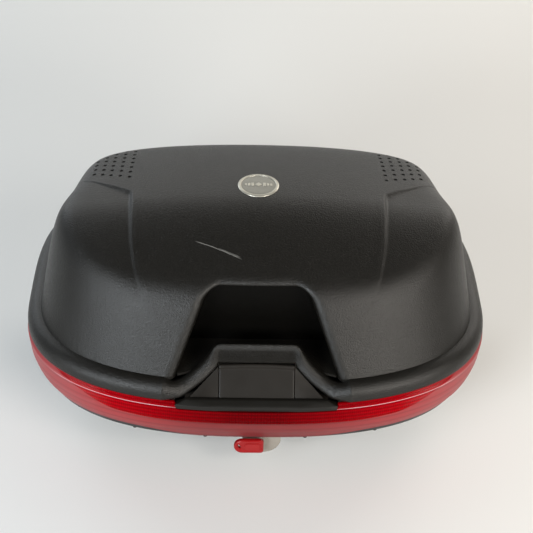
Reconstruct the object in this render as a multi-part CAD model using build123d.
from build123d import *
import math
import os
import numpy as np

# A hard luggage case: a tub and a domed lid, hinged at the back and latched at the front, with a
# wrap-round reflector, a key lock that moves a lock bar, and a hook plate for a rack underneath.
# Frame (mm): origin on the resting plane under the middle of the case, +Z up,
# -Y the front (latch side), +Y the back (hinge side).

os.makedirs("parts", exist_ok=True)

# ---------------------------------------------------------------- driving dimensions
# Rim, seen in plan: two superellipse halves that meet on the widest line
HALF_WIDTH = 291.5
Y_WIDEST = -29.95
LEN_FRONT, LEN_BACK = 181.75, 241.87        # from the widest line
EXP_FRONT, EXP_BACK = 2.5, 3.63
WIRE_POINTS = 40                            # spline points round each section

# Lid
Z_PART = 132.0                              # parting plane between tub and lid
Z_CREASE = 154.7                            # where the dome rises from the rim bead
CREASE_INSET = 17.9
DOME_LEVELS = [185, 215, 245, 275, 312]     # sections above the crease
DRAFT_SIDE, DRAFT_FRONT, DRAFT_BACK = 20.9, 40.0, 20.5     # lean of the dome walls, degrees
DOME_CENTRE = np.array([0.0, -5.0])         # the wall sections are star shaped about this
Z_CROWN, Y_CROWN = 298.6, -11.1             # top of the lid
FALL_X, FALL_FRONT, FALL_BACK = 3.22e-4, 7.76e-4, 11.78e-4  # crown fall per distance squared
WALL = 3.2
RECESS_Y = -121.0                           # back wall of the hand recess
RECESS_TOP_HALF, RECESS_FOOT_HALF = 57.0, 92.5
RECESS_TOP_Z, RECESS_FOOT_Z = 240.0, 155.5
BADGE_Y, BADGE_PEG_X = 9.0, 12.0

# Latch face: v runs up the face, n outward from it
LEAN = 38.0                                 # degrees from upright
LATCH_Y, LATCH_Z = -197.0, 136.0            # foot of the face
PLATE_HALF = 45.3                           # lever half width
LEVER_HALF_BAY = 46.0                       # half width of the bay it turns in
HOOK_HALF = 12.0
HOOK_SCREW_X, HOOK_SCREW_V = 9.0, 12.5
# Outlines on the latch face, (x, v)
ARCH_OUT = [(-106, -4), (-96.5, 19), (-48.5, 61.5), (48.5, 61.5), (96.5, 19), (106, -4)]
ARCH_IN = [(-84.5, -6), (-47, 34.5), (-47, 48), (47, 48), (47, 34.5), (84.5, -6)]
TONGUE = [(-83, -6), (-46.9, 33), (-46.9, 44), (46.9, 44), (46.9, 33), (83, -6)]

# Hinge
HINGE_Y, HINGE_Z = 214.0, 133.0             # pin line
HINGE_XS = (-100.0, 100.0)
LUG_R, LUG_CLEAR_R = 5.5, 6.3
HINGE_PIN_R, HINGE_BORE_R = 2.0, 2.05
HINGE_CLIP_X = 22.6                         # clip groove, from the middle of a pin

# Tub and reflector sections: (inset from the rim, z) or (front, side, back inset, z)
TUB_OUTSIDE = [
    (91, 85, 60, 6.0), (62, 60, 42, 30.0), (31, 34, 26, 52.0),
    (21.0, 58.0), (9.0, 84.0), (3.4, 110.0), (2.6, 124.0), (2.2, 131.3),
]
TUB_INSIDE = [
    (93, 88, 63, 9.2), (66, 64, 46, 31.5), (37, 40, 31, 52.5),
    (25.5, 60.0), (12.8, 84.5), (6.8, 110.0), (6.2, 122.0), (18.6, 127.5), (18.6, 134.0),
]
LENS_OUTSIDE = [
    (20.6, 58.2), (18.6, 62.0), (8.3, 80.0), (2.2, 100.0),
    (-0.6, 118.0), (-1.0, 127.0), (1.2, 129.2), (1.6, 131.3),
]
LENS_INSIDE = [
    (25.0, 61.2), (22.0, 64.0), (11.6, 81.0), (5.4, 100.0),
    (2.6, 118.0), (2.4, 126.0), (4.6, 128.0), (4.9, 132.0),
]
LENS_END_Y = -62.0                          # the reflector wraps round as far as this
LENS_FOOT_INSET = 30.1

# Lock and key
LOCK_X, LOCK_Z = 8.0, 48.0                  # key axis
LOCK_DISC_Z = 52.0                          # centre of the round lock housing
CRANK_R = 8.0
CRANK_ANGLE = math.radians(-45)             # at rest, down and towards +X
CRANK_PIN_R = 2.0
CRANK_X = LOCK_X + CRANK_R * math.cos(CRANK_ANGLE)
CRANK_Z = LOCK_Z + CRANK_R * math.sin(CRANK_ANGLE)
KEY_PIVOT_Y = -196.2
KEY_PIN_HOLE_R = 1.05


def pairs(half_x, rows):
    """Points at -half_x and +half_x on each row."""
    return [(x, row) for row in rows for x in (-half_x, half_x)]


STRIKER_SCREWS = pairs(14, [-140.0])        # x, y
HOUSING_SCREWS = pairs(66, [117, 107.5])    # x, z
HOOK_PLATE_SCREWS = pairs(78, [-90, 56])    # x, y
FLOOR_SCREWS = pairs(60, [-70, 50])         # x, y
PADS = pairs(140, [-78, 108])               # x, y


# ---------------------------------------------------------------- plan outline
def outline(half_width=HALF_WIDTH, front=LEN_FRONT, back=LEN_BACK):
    """Finely sampled plan loop, anticlockwise from +X."""
    angle = np.linspace(0, 2 * math.pi, 1441)[:-1]
    c, s = np.cos(angle), np.sin(angle)
    power = np.where(s < 0, EXP_FRONT, EXP_BACK)
    length = np.where(s < 0, front, back)
    r = (np.abs(c / half_width) ** power + np.abs(s / length) ** power) ** (-1 / power)
    return np.c_[r * c, Y_WIDEST + r * s]


def inward_normals(loop):
    t = np.roll(loop, -1, 0) - np.roll(loop, 1, 0)
    t /= np.linalg.norm(t, axis=1)[:, None]
    return np.c_[-t[:, 1], t[:, 0]]


RIM = outline()
RIM_NORMALS = inward_normals(RIM)
CREASE = RIM + RIM_NORMALS * CREASE_INSET
CREASE_OUT_Y = -inward_normals(CREASE)[:, 1]    # y of the outward normal


def front_rim_y(x, inset):
    """y of the inset rim at x, on the front side."""
    loop = RIM + RIM_NORMALS * inset
    front = loop[loop[:, 1] < Y_WIDEST]
    front = front[np.argsort(front[:, 0])]
    return float(np.interp(x, front[:, 0], front[:, 1]))


LENS_SCREWS = [(x, front_rim_y(x, 27.0)) for x in (-222, -150, -62, 62, 150, 222)]


# ---------------------------------------------------------------- shape helpers
def spline_wire(points, z):
    """Closed smooth level wire through plan points."""
    points = [(float(x), float(y), float(z)) for x, y in points]
    return Wire([Edge.make_spline(points, periodic=True)])


def rim_loft(sections):
    """Ruled loft; a section is (inset, z) or (front, side, back inset, z)."""
    wires = []
    for *insets, z in sections:
        if len(insets) == 1:
            loop = RIM + RIM_NORMALS * insets[0]
        else:
            front, side, back = insets
            loop = outline(HALF_WIDTH - side, LEN_FRONT - front, LEN_BACK - back)
        wires.append(spline_wire(loop[::len(loop) // WIRE_POINTS], z))
    return Solid.make_loft(wires, True)


def box(x0, x1, y0, y1, z0, z1):
    return Pos((x0 + x1) / 2, (y0 + y1) / 2, (z0 + z1) / 2) * Box(x1 - x0, y1 - y0, z1 - z0)


def side_box(side, near, far, *yz, centre=0.0):
    """Box from near to far away from centre along X, on the side given by -1 or 1."""
    x0, x1 = sorted((centre + side * near, centre + side * far))
    return box(x0, x1, *yz)


def cyl_x(x0, x1, y, z, r):
    return Pos((x0 + x1) / 2, y, z) * Rot(0, 90, 0) * Cylinder(r, x1 - x0)


def cyl_y(y0, y1, x, z, r):
    return Pos(x, (y0 + y1) / 2, z) * Rot(90, 0, 0) * Cylinder(r, y1 - y0)


def cyl_z(z0, z1, x, y, r):
    return Pos(x, y, (z0 + z1) / 2) * Cylinder(r, z1 - z0)


def prism(points, direction):
    face = Face(Wire.make_polygon([Vector(*p) for p in points], close=True))
    return Solid.extrude(face, Vector(*direction))


def screws_z(places, head, shank, slot_z, slot):
    """Upright slotted screws; head and shank are (z0, z1, radius), slot is the cutter's size."""
    made = []
    for x, y in places:
        body = cyl_z(*head[:2], x, y, head[2]) + cyl_z(*shank[:2], x, y, shank[2])
        made.append(body - (Pos(x, y, slot_z) * Box(*slot)))
    return made


def coil(pitch, height, radius, wire_radius, place):
    path = (place * Helix(pitch, height, radius)).edges()[0]
    section = Plane(origin=path @ 0, z_dir=path % 0) * Circle(wire_radius)
    return sweep(section, path=path)


def largest(shape):
    return max(shape.solids(), key=lambda solid: solid.volume)


def front_zone(shift=0.0):
    """The front of the case, as far back as the reflector's end plus shift."""
    return box(-320, 320, -260, LENS_END_Y + shift, 40, 140)


def hinge_cyl(x0, x1, r):
    return cyl_x(x0, x1, HINGE_Y, HINGE_Z, r)


def lock_disc(y0, y1, r, top):
    """Round lock body with its top cut flat."""
    return cyl_y(y0, y1, LOCK_X, LOCK_DISC_Z, r) & box(-40, 60, -205, -150, 20, top)


def lock_cyl(y0, y1, r):
    return cyl_y(y0, y1, LOCK_X, LOCK_Z, r)


# ---------------------------------------------------------------- latch face helpers
SIN_LEAN, COS_LEAN = math.sin(math.radians(LEAN)), math.cos(math.radians(LEAN))


def latch_point(v, n):
    """World y, z of a point on the latch face."""
    return LATCH_Y + SIN_LEAN * v - COS_LEAN * n, LATCH_Z + COS_LEAN * v + SIN_LEAN * n


def latch_prism(outline_xv, n0, n1):
    points = [(x, *latch_point(v, n0)) for x, v in outline_xv]
    return prism(points, (0, -COS_LEAN * (n1 - n0), SIN_LEAN * (n1 - n0)))


def latch_box(x0, x1, v0, v1, n0, n1):
    return latch_prism([(x0, v0), (x0, v1), (x1, v1), (x1, v0)], n0, n1)


def hook_screw_cyl(x, n, r, length):
    """Cylinder along the face normal, centred at n on a hook screw."""
    return Pos(x, *latch_point(HOOK_SCREW_V, n)) * Rot(90 - LEAN, 0, 0) * Cylinder(r, length)


PIVOT_Y, PIVOT_Z = latch_point(-1.0, -5.5)      # lever pin


def pivot_cyl(half_length, r):
    return cyl_x(-half_length, half_length, PIVOT_Y, PIVOT_Z, r)


# ================================================================= LID
def wall_height(points):
    """Height of the drafted dome wall above plan points inside the crease."""
    squared = ((points[:, None, :] - CREASE[None]) ** 2).sum(2)
    nearest = squared.argmin(1)
    distance = np.sqrt(squared[np.arange(len(points)), nearest])
    out_y = CREASE_OUT_Y[nearest]
    front, back = np.clip(-out_y, 0, 1) ** 2, np.clip(out_y, 0, 1) ** 2
    draft = (1 - front - back) * DRAFT_SIDE + front * DRAFT_FRONT + back * DRAFT_BACK
    return Z_CREASE + distance / np.tan(np.radians(draft))


def wall_loop(z, inset):
    """Plan loop of the dome wall at height z, smoothed and moved in by inset."""
    angle = np.linspace(0, 2 * math.pi, WIRE_POINTS, endpoint=False)
    rays = np.c_[np.cos(angle), np.sin(angle)]
    crease = CREASE - DOME_CENTRE
    crease_r = np.interp(angle, np.arctan2(crease[:, 1], crease[:, 0]),
                         np.linalg.norm(crease, axis=1), period=2 * math.pi)
    if z <= Z_CREASE:
        r = crease_r
    else:
        low, high = np.zeros(WIRE_POINTS), crease_r
        for _ in range(40):
            middle = (low + high) / 2
            above = wall_height(DOME_CENTRE + rays * middle[:, None]) > z
            low = np.where(above, middle, low)
            high = np.where(above, high, middle)
        r = (low + high) / 2
    # damp the high harmonics
    spectrum = np.fft.rfft(r)
    spectrum *= np.exp(-((np.arange(len(spectrum)) / 11.0) ** 4))
    r = np.fft.irfft(spectrum, WIRE_POINTS)
    loop = DOME_CENTRE + rays * r[:, None]
    return loop + inward_normals(loop) * inset


def crown_z(x, y):
    dy = y - Y_CROWN
    return Z_CROWN - FALL_X * x * x - (FALL_FRONT if dy < 0 else FALL_BACK) * dy * dy


def crown_cutter(drop):
    """Everything above the crown surface lowered by drop."""
    grid = [
        [Vector(float(x), float(y), float(crown_z(x, y) - drop)) for x in np.linspace(-330, 330, 9)]
        for y in np.linspace(-280, 280, 15)
    ]
    face = Face.make_surface_from_array_of_points(grid, tol=0.05, min_deg=3, max_deg=5)
    return Solid.extrude(face, Vector(0, 0, 260))


def dome(inset, z_bottom, radius):
    """Solid dome, its wall and crown moved in by inset, with the crown edge rounded."""
    levels = [z_bottom, Z_CREASE] + DOME_LEVELS
    wires = [spline_wire(wall_loop(max(z, Z_CREASE), inset), z) for z in levels]
    body = Solid.make_loft(wires[:2], True) + Solid.make_loft(wires[1:], False)
    solid = largest(body - crown_cutter(inset))
    # The fillet can fail or come out invalid on the splined wall: fall back to smaller ones.
    for r in (radius, radius * 0.7, radius * 0.4):
        try:
            top = [
                e for e in solid.edges()
                if e.center().Z > 230 or e.bounding_box().min.Z > 215
            ]
            rounded = solid.fillet(r, top)
            if rounded.is_valid:
                return rounded
        except Exception:
            pass
    return solid


def recess(grow):
    """Hand recess behind the handle arch, open to the front and top."""
    top, foot = RECESS_TOP_HALF + grow, RECESS_FOOT_HALF + grow
    y, foot_z, depth = RECESS_Y + grow, RECESS_FOOT_Z - grow, 200
    corners = [(-top, RECESS_TOP_Z), (top, RECESS_TOP_Z), (foot, foot_z), (-foot, foot_z)]
    lower = prism([(x, y, z) for x, z in corners], (0, -depth, 0))
    return lower + box(-top, top, y - depth, y, RECESS_TOP_Z, 300)


def lid_shell():
    outside = dome(0.0, z_bottom=149.0, radius=27.0) - recess(0)
    inside = dome(WALL, z_bottom=120.0, radius=24.0) - recess(WALL)
    bead = rim_loft([
        (1.2, 132.2), (0.0, 134.5), (0.2, 140), (2.0, 146), (6.0, 151), (12.0, 154.3), (16.5, 154.9),
    ])
    arch = latch_prism(ARCH_OUT, -13.0, 2.0) - latch_prism(ARCH_IN, -14, 4)
    recess_floor = box(-93, 93, -170, -118, 151.5, 155.0)
    lid = bead + outside
    # channel under the bead, over the seal
    channel = rim_loft([(3.8, 131.0), (3.8, 140), (8.5, 148.5), (14.2, 151.2)])
    channel_core = rim_loft([(14.6, 130.0), (14.6, 152.0)])
    lid = lid - (channel - channel_core)
    lid = lid - inside
    lid = lid + arch
    lid = lid - latch_prism(ARCH_IN, -60, 40)
    lid = lid + (recess_floor - latch_box(-100, 100, -6, 100, -12, 60))
    lid = lid - box(-86, 86, -230, -150, 120, 134)
    lid = lid - box(-330, 330, -330, 206.5, 100, Z_PART + 0.2)
    # hinge: one lug in the middle of each tub pair, with room for the tub's lugs beside it
    for x in HINGE_XS:
        lug = hinge_cyl(x - 9.8, x + 9.8, LUG_R)
        lug = lug + box(x - 9.8, x + 9.8, 207.2, HINGE_Y, HINGE_Z + 0.2, 143)
        for side in (-1, 1):
            lid = lid - hinge_cyl(*sorted((x + side * 9.9, x + side * 24.6)), LUG_CLEAR_R)
        lid = lid + lug
        lid = lid - hinge_cyl(x - 30, x + 30, HINGE_BORE_R)
        lid = lid - box(x - 21, x + 21, 206, 222, 120, 132.1)
    for x, y in STRIKER_SCREWS:
        lid = lid - cyl_z(150, 154, x, y, 1.3)
    # badge seat and peg holes
    seat_z = crown_z(0, BADGE_Y)
    lid = lid - cyl_z(seat_z - 1.3, seat_z + 8, 0, BADGE_Y, 26.0)
    for x in (-BADGE_PEG_X, BADGE_PEG_X):
        lid = lid - cyl_z(seat_z - 9, seat_z, x, BADGE_Y, 1.6)
    return largest(lid)


def badge():
    """Dished disc with a raised centre and two pegs."""
    z = crown_z(0, BADGE_Y)
    disc = cyl_z(z - 1.2, z + 0.9, 0, BADGE_Y, 25.6)
    disc = disc - cyl_z(z + 0.4, z + 2, 0, BADGE_Y, 22.0)
    disc = disc + cyl_z(z, z + 0.8, 0, BADGE_Y, 9.0)
    for x in (-BADGE_PEG_X, BADGE_PEG_X):
        disc = disc + cyl_z(z - 5.0, z, x, BADGE_Y, 1.5)
    return disc


def striker_plate():
    """Folded plate under the recess floor, with two arms that carry the catch bar."""
    half, back_y, top, bottom = 20, -148, 151.3, 127.0
    plate = box(-half, half, -150, -133, 149.3, top)
    plate = plate + box(-half, half, -150, back_y, bottom, top)
    for side in (-1, 1):
        plate = plate + side_box(side, 16, half, -162.4, back_y, bottom, 132.2)
    plate = plate + cyl_x(-half, half, -160.6, 129.6, 2.2)
    for x, y in STRIKER_SCREWS:
        plate = plate - cyl_z(148, 152, x, y, 1.7)
    return plate


def striker_screws():
    return screws_z(STRIKER_SCREWS, head=(147.2, 149.2, 2.8), shank=(149, 153.6, 1.25),
                    slot_z=147.4, slot=(3.4, 0.7, 0.8))


# ================================================================= TUB
def lower_shell():
    outside = rim_loft(TUB_OUTSIDE)
    cavity = rim_loft(TUB_INSIDE)
    # pocket for the reflector, round the front
    core = rim_loft([(32.0, 57.6), (22.5, 84.0), (16.0, 110.0), (14.6, 125.0)])
    pocket = (rim_loft([(-12, 57.6), (-12, 125.0)]) - core) & front_zone()
    top_core = rim_loft([(6.2, 124.0), (6.2, 135.0)])
    pocket_top = (rim_loft([(-12, 124.5), (-12, 134.0)]) - top_core) & front_zone()
    # the same pocket one wall further in, kept out of the cavity so a wall stands behind the lens
    wall_core = rim_loft([(36.5, 54.2), (26.0, 84.0), (19.4, 110.0), (18.4, 128.6)])
    pocket_wall = (rim_loft([(-12, 54.2), (-12, 128.6)]) - wall_core) & front_zone(3.4)
    tub = outside - pocket - pocket_top
    tub = tub - (cavity - pocket_wall)
    # rack recess underneath, with the floor raised over it
    tub = tub + (box(-96, 96, -112, 74, 6.5, 17.6) & rim_loft(TUB_OUTSIDE[:2]))
    tub = tub - box(-92, 92, -150, 70, -1, 14.2)
    # gap in the rim for the latch, and the lock opening
    tub = tub - box(-98.4, 98.4, -230, -189.5, 121.3, 140)
    tub = tub - lock_disc(-205, -150, 24.4, top=57.1)
    for x, z in HOUSING_SCREWS:
        tub = tub - cyl_y(-205, -185, x, z, 1.8)
    for x, y in LENS_SCREWS:
        tub = tub - cyl_z(50, 58, x, y, 1.6) - cyl_z(48, 54.9, x, y, 3.3)
    for x, y in HOOK_PLATE_SCREWS:
        tub = tub - cyl_z(13, 18.5, x, y, 2.1)
    for x, y in PADS:
        tub = tub - cyl_z(4, 12, x, y, 3.1)
    # hinge lugs, two to each lid lug
    for x in HINGE_XS:
        tub = tub - hinge_cyl(x - 10.2, x + 10.2, LUG_CLEAR_R)
        for lug_x in (x - 15.5, x + 15.5):
            x0, x1 = lug_x - 5.2, lug_x + 5.2
            tub = tub + hinge_cyl(x0, x1, LUG_R) + box(x0, x1, 202, HINGE_Y, 124.5, HINGE_Z - 1.8)
        tub = tub - hinge_cyl(x - 30, x + 30, HINGE_BORE_R)
    return largest(tub)


# ================================================================= REFLECTOR
def lens_foot_core(z0, z1):
    return rim_loft([(LENS_FOOT_INSET, z0), (LENS_FOOT_INSET, z1)])


def reflector_lens():
    skin = rim_loft(LENS_OUTSIDE) - rim_loft(LENS_INSIDE)
    lens = (skin - lens_foot_core(57, 63)) & front_zone(-0.6)
    # foot flange that stands on the tub's shelf
    flange = rim_loft([(20.6, 58.2), (19.9, 61.6)]) - lens_foot_core(57, 62)
    lens = lens + (flange & front_zone(-0.6))
    lens = lens - box(-98.6, 98.6, -230, -185, 121.9, 140)
    for x, y in LENS_SCREWS:
        lens = lens - cyl_z(57, 60.9, x, y, 1.35)
    return largest(lens)


def reflector_backing():
    outside = rim_loft([(26.4, 64.5), (16.4, 82.0), (10.4, 100.0), (8.6, 112.0), (8.2, 119.5)])
    inside = rim_loft([(28.2, 64.0), (18.2, 82.0), (12.2, 100.0), (10.4, 112.0), (10.0, 120.5)])
    return largest((outside - inside) & front_zone(-4.0))


def reflector_screws():
    return screws_z(LENS_SCREWS, head=(52.6, 54.8, 2.9), shank=(54, 60.5, 1.3),
                    slot_z=52.8, slot=(3.6, 0.8, 0.9))


# ================================================================= LATCH
def sill_trim():
    """Sill under the latch lever, following the rim in plan and tapered at its ends."""
    half = 97.6
    section = [                             # y, z
        (-199.9, 122.3), (-199.9, 133.6), (-203.5, 133.2),
        (-209.0, 130.4), (-211.0, 128.4), (-211.2, 122.3),
    ]
    sill = prism([(-half, y, z) for y, z in section], (2 * half, 0, 0))
    sill = sill & rim_loft([(-0.4, 120), (-0.4, 128.6), (3.4, 131.5), (7.0, 134.5)])
    for side in (-1, 1):
        corners = [(98.2, 128.2), (83.0, 134.2), (98.2, 134.2)]
        sill = sill - prism([(side * x, -230, z) for x, z in corners], (0, 40, 0))
    return largest(sill)


def latch_housing():
    housing = box(-80, 80, -200.0, -186.8, 103, 123.5)
    housing = housing & rim_loft([(26.4, 84.0), (19.8, 110.0), (18.9, 128.6)])
    belt = box(-86, 86, -199.3, -189.8, 121.7, 131.5) + box(-79, 79, -190, -186.8, 121.7, 131.5)
    belt = belt & rim_loft([(8.0, 120), (8.0, 136)])
    housing = housing + belt + latch_prism(TONGUE, -11.6, -2.5)
    # bay for the lever, its barrel and its pin
    housing = housing - latch_box(-LEVER_HALF_BAY, LEVER_HALF_BAY, -12, 60, -9.5, 20)
    housing = housing - pivot_cyl(LEVER_HALF_BAY, 5.4)
    housing = housing - pivot_cyl(53, 1.55)
    # opening for the hook, and slot for the tip of the lock bar
    housing = housing - latch_box(-14, 14, 16, 60, -40, 0)
    housing = housing - box(-7.0, 7.0, -188.6, -170, 80, 131.0)
    for x, z in HOUSING_SCREWS:
        housing = housing - cyl_y(-202, -185, x, z, 2.1)
    return largest(housing)


def latch_housing_screws():
    made = []
    for x, z in HOUSING_SCREWS:
        body = cyl_y(-186.7, -184.2, x, z, 3.4) + cyl_y(-196.2, -186.5, x, z, 1.7)
        made.append(body - (Pos(x, -184.4, z) * Box(4.4, 0.9, 0.9)))
    return made


def lever_pivot_pin():
    return pivot_cyl(52.6, 1.5)


def latch_lever():
    """Panel with a lipped top and ribs inside, turning on its lower barrel."""
    back_n = -5.6
    lever = latch_box(-PLATE_HALF, PLATE_HALF, -1, 34.6, back_n, -1.0)
    lever = lever + pivot_cyl(PLATE_HALF, 4.5)
    lip = [
        (-PLATE_HALF, 33.0), (-PLATE_HALF, 36.2), (-24, 37.4), (0, 37.8),
        (24, 37.4), (PLATE_HALF, 36.2), (PLATE_HALF, 33.0),
    ]
    lever = lever + latch_prism(lip, back_n, 0.8)
    for x in (-38, -13.5, 13.5, 38):
        lever = lever + latch_box(x - 1, x + 1, 0, 33, -9.0, -5.0)
    # pin bore, and the gap in the barrel for the spring
    lever = lever - pivot_cyl(60, 1.57)
    lever = lever - pivot_cyl(7.5, 5.2)
    for x in (-HOOK_SCREW_X, HOOK_SCREW_X):
        lever = lever - hook_screw_cyl(x, -4.6, 1.1, 3.4)
    return largest(lever)


def latch_hook():
    """Angle on the back of the lever, its nose reaching over the catch bar."""
    top_v = 19.4
    hook = latch_box(-HOOK_HALF, HOOK_HALF, 7, top_v, -7.6, -5.7)
    hook = hook + latch_box(-HOOK_HALF, HOOK_HALF, 17.0, top_v, -27.5, -7.0)
    for x in (-HOOK_SCREW_X, HOOK_SCREW_X):
        hook = hook - hook_screw_cyl(x, -6.6, 1.3, 6)
    return hook


def latch_hook_screws():
    return [
        hook_screw_cyl(x, -5.2, 1.0, 4.4) + hook_screw_cyl(x, -8.5, 2.2, 1.7)
        for x in (-HOOK_SCREW_X, HOOK_SCREW_X)
    ]


def lever_spring():
    """Spring round the pin, in the gap of the barrel."""
    length = 10.2
    place = Pos(-length / 2, PIVOT_Y, PIVOT_Z) * Rot(0, 90, 0)
    return coil(pitch=1.7, height=length, radius=3.1, wire_radius=0.55, place=place)


def latch_inner_cover():
    """Cover over the latch and the lock bar, inside the case."""
    cover = box(-84, 84, -186.5, -160.0, 86, 123.4)
    cover = cover + box(-28, 44, -189.9, -140.0, 28, 100)
    cover = cover + box(-28, 44, -186.5, -140.0, 99, 123.4)
    hollow = (box(-81.6, 81.6, -200, -162.4, 88.4, 121.0), box(-25.6, 41.6, -200, -142.4, 20, 121.0))
    for space in hollow:
        cover = cover - space
    cover = cover - box(-6.6, 6.6, -184.2, -177.4, 118, 125)    # opening for the lock bar tip
    # trim to just inside the tub
    inside = rim_loft([
        (66.8, 64, 46, 31.4), (38.2, 40, 31, 52.5),
        (37.5, 54.5), (27.2, 84.0), (21.0, 110.0), (20.2, 129.0),
    ])
    cover = cover - (box(-300, 300, -300, 300, -10, 140) - inside)
    cover = cover - box(-300, 300, -300, 300, 20, 44)
    return largest(cover)


# ================================================================= SEAL AND HINGE PINS
def lid_seal():
    """Seal strip round the rim, open at the latch."""
    outside = rim_loft([(8.2, 131.6), (8.2, 136.4), (9.8, 138.0)])
    seal = outside - rim_loft([(13.6, 131.0), (13.6, 136.0), (12.0, 139.0)])
    return largest(seal - box(-113, 113, -260, -150, 120, 150))


def hinge_pins():
    pins = []
    for x in HINGE_XS:
        pin = hinge_cyl(x - 23.5, x + 23.5, HINGE_PIN_R)
        for groove in (x - HINGE_CLIP_X, x + HINGE_CLIP_X):
            core = hinge_cyl(groove - 0.6, groove + 0.6, 1.5)
            pin = pin - (hinge_cyl(groove - 0.45, groove + 0.45, 3.0) - core)
        pins.append(pin)
    return pins


def hinge_pin_clips():
    """C-shaped clips, open downward, in the pin grooves."""
    clips = []
    for hinge_x in HINGE_XS:
        for x in (hinge_x - HINGE_CLIP_X, hinge_x + HINGE_CLIP_X):
            clip = hinge_cyl(x - 0.35, x + 0.35, 3.6) - hinge_cyl(x - 1, x + 1, 1.55)
            mouth = box(x - 2, x + 2, HINGE_Y - 1.3, HINGE_Y + 1.3, HINGE_Z - 6, HINGE_Z)
            clips.append(clip - mouth)
    return clips


# ================================================================= LOCK
def lock_housing():
    housing = lock_disc(-188.0, -160.0, 24.0, top=56.6)
    housing = housing - lock_cyl(-200, -150, 9.05)
    for side in (-1, 1):
        housing = housing - side_box(side, 19.5, 30, -166.2, -164.3, 44.0, 60, centre=LOCK_X)
    return largest(housing)


def lock_retaining_clip():
    """Flat clip whose two legs drop into the housing's side slots."""
    clip = box(LOCK_X - 28, LOCK_X + 28, -166.0, -164.5, 57.0, 60.5)
    for side in (-1, 1):
        clip = clip + side_box(side, 19.7, 28, -166.0, -164.5, 48.5, 57.2, centre=LOCK_X)
    return clip


def lock_cylinder():
    barrel = lock_cyl(-188.6, -158.0, 9.0)
    keyway = box(LOCK_X - 1.25, LOCK_X + 1.25, -200, -165.0, LOCK_Z - 4.2, LOCK_Z + 4.2)
    barrel = barrel - keyway
    return barrel - lock_cyl(-163, -150, 1.5)


def lock_cam():
    """Disc with the crank pin on its inner face."""
    cam = lock_cyl(-157.9, -155.5, 11.0)
    cam = cam + cyl_y(-155.6, -151.0, CRANK_X, CRANK_Z, CRANK_PIN_R)
    return cam - lock_cyl(-160, -150, 1.7)


def lock_cam_screw():
    return lock_cyl(-155.45, -154.15, 2.9) + lock_cyl(-162.4, -155, 1.45)


def lock_bar():
    """Cranked strip with a level slot for the crank pin and an upturned tip at the front."""
    y0, y1, tip_y = -154.0, -151.6, -182.0
    half, right = 5.0, LOCK_X + 16
    fold_z0, fold_z1 = 100.6, 103.0
    bar = box(LOCK_X - 4, right, y0, y1, CRANK_Z - 5.5, CRANK_Z + 5.5)
    bar = bar + box(LOCK_X + 5, right, y0, y1, CRANK_Z - 5.5, CRANK_Z + 32)
    bar = bar + box(-half, right, y0, y1, CRANK_Z + 26, CRANK_Z + 34)
    bar = bar + box(-half, half, y0, y1, CRANK_Z + 26, fold_z1)
    bar = bar + box(-half, half, tip_y, y1, fold_z0, fold_z1)
    bar = bar + box(-half, half, tip_y, -179.6, fold_z0, 116.0)
    # the slot spans the pin's sideways swing, with play
    swing_end = LOCK_X + CRANK_R
    slot_x = (CRANK_X + swing_end) / 2
    reach = (swing_end - CRANK_X) / 2 + 0.6
    slot_r = CRANK_PIN_R + 0.45
    slot = box(slot_x - reach, slot_x + reach, -156, -150, CRANK_Z - slot_r, CRANK_Z + slot_r)
    for x in (slot_x - reach, slot_x + reach):
        slot = slot + cyl_y(-156, -150, x, CRANK_Z, slot_r)
    return largest(bar - slot)


# ================================================================= KEY
def key_cyl(half_height, r):
    """Cylinder on the upright fold axis of the key."""
    return cyl_z(LOCK_Z - half_height, LOCK_Z + half_height, LOCK_X, KEY_PIVOT_Y, r)


def key_blade():
    half = 4.0
    blade = box(LOCK_X - 1.1, LOCK_X + 1.1, KEY_PIVOT_Y, -167.0, LOCK_Z - half, LOCK_Z + half)
    for i in range(4):
        notch = 1.6 + 0.3 * (i % 2)
        place = Pos(LOCK_X, -171 - 4.2 * i, LOCK_Z - half)
        blade = blade - (place * Rot(45, 0, 0) * Box(4, notch, notch))
    blade = blade + key_cyl(half, 2.3)
    return blade - key_cyl(8, KEY_PIN_HOLE_R)


def key_bow():
    """Grip folded towards -X, with two rounded corners and an upright slot near its end."""
    half_y, half_z = 2.75, 11
    x_end = LOCK_X - 34
    bow = box(x_end, LOCK_X, KEY_PIVOT_Y - half_y, KEY_PIVOT_Y + half_y,
              LOCK_Z - half_z, LOCK_Z + half_z)
    corners = [
        e for e in bow.edges()
        if abs(e.center().X - x_end) < 0.1 and abs(e.center().Y - KEY_PIVOT_Y) < 0.1
    ]
    bow = bow.fillet(9.0, corners)
    bow = bow + key_cyl(half_z, half_y)
    bow = bow - box(LOCK_X - 3.4, LOCK_X + 5, -206, -180, LOCK_Z - 4.4, LOCK_Z + 4.4)
    bow = bow - key_cyl(20, KEY_PIN_HOLE_R)
    slot_x, slot_half, slot_r = LOCK_X - 28, 4, 1.5
    slot = box(slot_x - slot_r, slot_x + slot_r, -206, -180, LOCK_Z - slot_half, LOCK_Z + slot_half)
    for z in (LOCK_Z - slot_half, LOCK_Z + slot_half):
        slot = slot + cyl_y(-206, -180, slot_x, z, slot_r)
    return largest(bow - slot)


def key_bow_pin():
    return key_cyl(10.8, 1.0)


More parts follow.
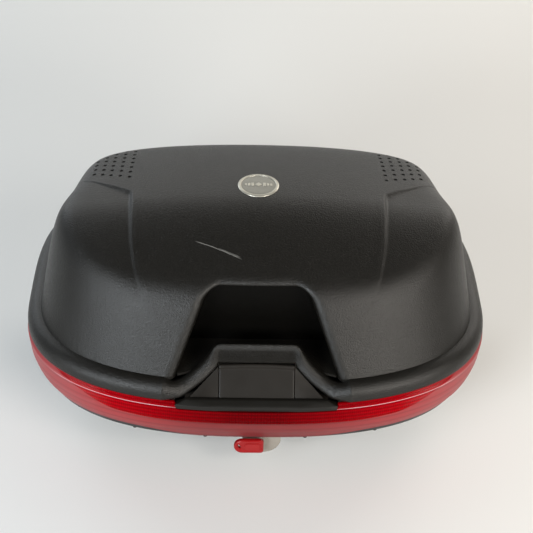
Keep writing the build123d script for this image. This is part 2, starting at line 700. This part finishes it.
# ================================================================= UNDERSIDE
def base_hook_plate():
    plate = box(-88, 88, -104, 66, 11.9, 13.9)
    for x in (-52, 52):
        for y0, y1 in ((20, 36), (-76, -60)):
            plate = plate - box(x - 16, x + 16, y0, y1, 11, 15)
        # pressed-down hook fingers that the rack's lugs slide under
        for stem_y, tip_y, back_y in ((-60.5, -68.0, -58.0), (35.5, 28.0, 38.0)):
            plate = plate + box(x - 12, x + 12, stem_y, back_y, 6.2, 12.2)
            plate = plate + box(x - 12, x + 12, tip_y, back_y, 4.6, 6.6)
    for x, y in HOOK_PLATE_SCREWS:
        plate = plate - cyl_z(10, 15, x, y, 2.1)
    return plate + box(-6, 6, -38, -35.5, 4.4, 12.2)    # post for the release spring


def base_hook_screws():
    return screws_z(HOOK_PLATE_SCREWS, head=(9.6, 11.8, 3.8), shank=(11.5, 22.6, 2.0),
                    slot_z=9.8, slot=(5, 1, 1))


def base_release_slider():
    """Strip with a pull at the front, a cross bar, a spring stop at the back and a lug below."""
    z0, z1 = 6.6, 9.4
    slider = box(-11, 11, -124, -62, z0, z1)
    slider = slider + box(-15, 15, -127.5, -123.5, 2.6, z1)
    slider = slider + box(-6, 6, -64.5, -62, 4.2, z1)
    slider = slider + box(-18, 18, -92, -84, z0, z1)
    return slider + box(-3.0, 3.0, -80, -70, 3.0, 6.8)


def base_release_guides():
    """L-shaped guides, one each side of the slider."""
    return [
        side_box(side, 11.25, 14.0, -120, -106, 4.4, 11.8)
        + side_box(side, 7.0, 14.0, -120, -106, 4.4, 6.3)
        for side in (-1, 1)
    ]


def base_release_spring():
    place = Pos(0, -61.0, 7.0) * Rot(-90, 0, 0)
    return coil(pitch=2.2, height=22.0, radius=2.6, wire_radius=0.5, place=place)


def base_pads():
    """Round feet with a stem up into the tub."""
    return [cyl_z(0, 5.85, x, y, 11.0) + cyl_z(5, 11.0, x, y, 3.0) for x, y in PADS]


def floor_cover():
    """Cover over the raised floor and the ends of the hook plate screws."""
    cover = box(-99, 99, -118, 80, 17.9, 26.0) - box(-96.6, 96.6, -115.6, 77.6, 10, 23.6)
    for x, y in FLOOR_SCREWS:
        cover = cover - cyl_z(17, 30, x, y, 2.0)
    return cover


def floor_cover_screws():
    return screws_z(FLOOR_SCREWS, head=(26.1, 28.2, 3.6), shank=(17.9, 26.3, 1.8),
                    slot_z=28.0, slot=(4.6, 0.9, 0.9))


# ================================================================= write
PARTS = [
    lid_shell, badge, striker_plate, striker_screws, lower_shell,
    reflector_lens, reflector_backing, reflector_screws,
    sill_trim, latch_housing, latch_housing_screws, lever_pivot_pin, latch_lever,
    latch_hook, latch_hook_screws, lever_spring, latch_inner_cover,
    lid_seal, hinge_pins, hinge_pin_clips,
    lock_housing, lock_retaining_clip, lock_cylinder, lock_cam, lock_cam_screw, lock_bar,
    key_blade, key_bow, key_bow_pin,
    base_hook_plate, base_hook_screws, base_release_slider, base_release_guides,
    base_release_spring, base_pads, floor_cover, floor_cover_screws,
]
MIN_VOLUME = 0.5                            # smaller solids are slivers left by the booleans

# Each file is named after the function that builds it.
for part in PARTS:
    shapes = part()
    if not isinstance(shapes, list):
        shapes = [shapes]
    solids = [s for shape in shapes for s in shape.solids() if s.volume > MIN_VOLUME]
    result = solids[0] if len(solids) == 1 else Compound(solids)
    export_step(result, f"parts/{part.__name__}.step")
